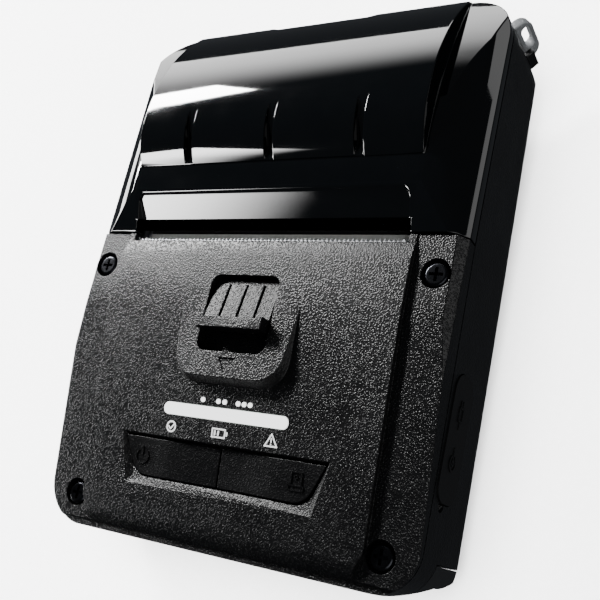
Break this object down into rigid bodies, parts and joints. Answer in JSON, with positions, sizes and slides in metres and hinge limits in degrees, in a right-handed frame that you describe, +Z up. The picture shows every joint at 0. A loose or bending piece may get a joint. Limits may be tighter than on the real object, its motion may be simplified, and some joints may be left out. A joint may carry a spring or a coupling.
{
  "type": "mobile receipt printer",
  "caption": "Mobile receipt printer with a hinged glossy roll cover, sliding cover release, push keys, side port door and slide-out battery pack.",
  "frame": {"origin": "middle of the flat base on which the printer lies", "axes": "+X to the right of the control face, +Y from the keys towards the paper roll, +Z up out of the base"},
  "size_m": [0.1126, 0.1488, 0.0494],
  "materials": {
    "aluminium": "extruded",
    "battery_black": "fine-grained black ABS, moulded texture",
    "board_green": "solder mask",
    "brass": "turned",
    "bush_tan": "acetal bearing grade",
    "ceramic_white": "glazed ceramic substrate",
    "chip_black": "moulded epoxy",
    "contact_gold": "gold flashed",
    "cover_gloss": "piano black, polished",
    "door_rubber": "matt black rubber",
    "gear_white": "acetal",
    "housing_black": "fine-grained black ABS, moulded texture",
    "key_black": "smooth satin black",
    "latch_grey": "moulded grey",
    "light_white": "clear white light pipe",
    "liner_black": "plain moulded black",
    "lug_grey": "grained grey plastic",
    "motor_steel": "zinc plated can",
    "platen_rubber": "ground rubber",
    "ribbon_amber": "polyimide film",
    "screw_black": "black zinc",
    "silicone_grey": "silicone",
    "slider_black": "smooth satin black",
    "spring_steel": "bright drawn wire",
    "steel": "zinc plated",
    "tear_steel": "etched steel with fine teeth"
  },
  "bodies": {
    "case": {"rear_shell": "housing_black", "front_shell": "housing_black", "shell_screws": "screw_black", "light_bar": "light_white", "light_dots": "light_white", "key_mat": "silicone_grey", "key_board": "board_green", "battery_contacts": "contact_gold", "main_board": "board_green", "board_chips": "chip_black", "usb_socket": "steel", "dc_socket": "chip_black", "mechanism_frame": "steel", "frame_screws": "steel", "print_head": "ceramic_white", "head_heatsink": "aluminium", "head_springs": "spring_steel", "head_ribbon": "ribbon_amber", "tear_bar": "tear_steel", "idler_axle": "steel", "stepper_motor": "motor_steel", "lock_spring": "spring_steel", "paper_sensor": "chip_black", "cover_switch": "chip_black", "roll_tray": "liner_black", "hinge_pins": "steel", "strap_lug": "lug_grey"},
    "cover": {"roll_cover": "cover_gloss", "cover_liner": "liner_black", "cover_screws": "steel", "platen_bushes": "bush_tan"},
    "platen": {"platen_roller": "platen_rubber", "platen_shaft": "steel", "platen_gear": "gear_white"},
    "idler": {"idler_gear": "gear_white"},
    "pinion": {"motor_pinion": "brass", "motor_shaft": "steel"},
    "lock": {"lock_shaft": "steel"},
    "slider": {"release_slider": "slider_black"},
    "power_button": {"power_key": "key_black"},
    "feed_button": {"feed_key": "key_black"},
    "battery": {"battery_pack": "battery_black"},
    "battery_catch": {"battery_latch": "latch_grey"},
    "door": {"port_door": "door_rubber"}
  },
  "joints": [
    {"name": "cover_hinge", "type": "hinge", "parent": "case", "child": "cover", "pos_m": [0, 0.068, 0.03], "axis": [-1, 0, 0], "range_deg": [0, 80]},
    {"name": "platen_spin", "type": "hinge", "parent": "cover", "child": "platen", "pos_m": [0, 0.0132, 0.0325], "axis": [1, 0, 0], "continuous": true},
    {"name": "idler_spin", "type": "hinge", "parent": "case", "child": "idler", "pos_m": [0, -0.00038, 0.02709], "axis": [1, 0, 0], "continuous": true},
    {"name": "pinion_spin", "type": "hinge", "parent": "case", "child": "pinion", "pos_m": [0, -0.012, 0.027], "axis": [1, 0, 0], "continuous": true},
    {"name": "lock_turn", "type": "hinge", "parent": "case", "child": "lock", "pos_m": [0, 0.0015, 0.0225], "axis": [1, 0, 0], "range_deg": [0, 12], "stiffness_Nm_per_rad": 0.03},
    {"name": "release_slide", "type": "slide", "parent": "case", "child": "slider", "axis": [0, -1, 0], "range_m": [0, 0.0032]},
    {"name": "power_press", "type": "slide", "parent": "case", "child": "power_button", "axis": [0, 0.1632, -0.9866], "range_m": [0, 0.0008], "stiffness_N_per_m": 600},
    {"name": "feed_press", "type": "slide", "parent": "case", "child": "feed_button", "axis": [0, 0.1632, -0.9866], "range_m": [0, 0.0008], "stiffness_N_per_m": 600},
    {"name": "battery_slide", "type": "slide", "parent": "case", "child": "battery", "axis": [0, -1, 0], "range_m": [0, 0.07]},
    {"name": "battery_catch_slide", "type": "slide", "parent": "case", "child": "battery_catch", "axis": [0, 1, 0], "range_m": [0, 0.003], "stiffness_N_per_m": 300},
    {"name": "door_swing", "type": "hinge", "parent": "case", "child": "door", "pos_m": [0.0551, -0.0226, 0.0245], "axis": [0, 0, 1], "range_deg": [0, 100]}
  ],
  "couplings": [
    {"joint": "idler_spin", "follows": "platen_spin", "ratio": -0.70588},
    {"joint": "pinion_spin", "follows": "platen_spin", "ratio": 2},
    {"joint": "release_slide", "follows": "lock_turn", "m_per_rad": 0.014801}
  ]
}
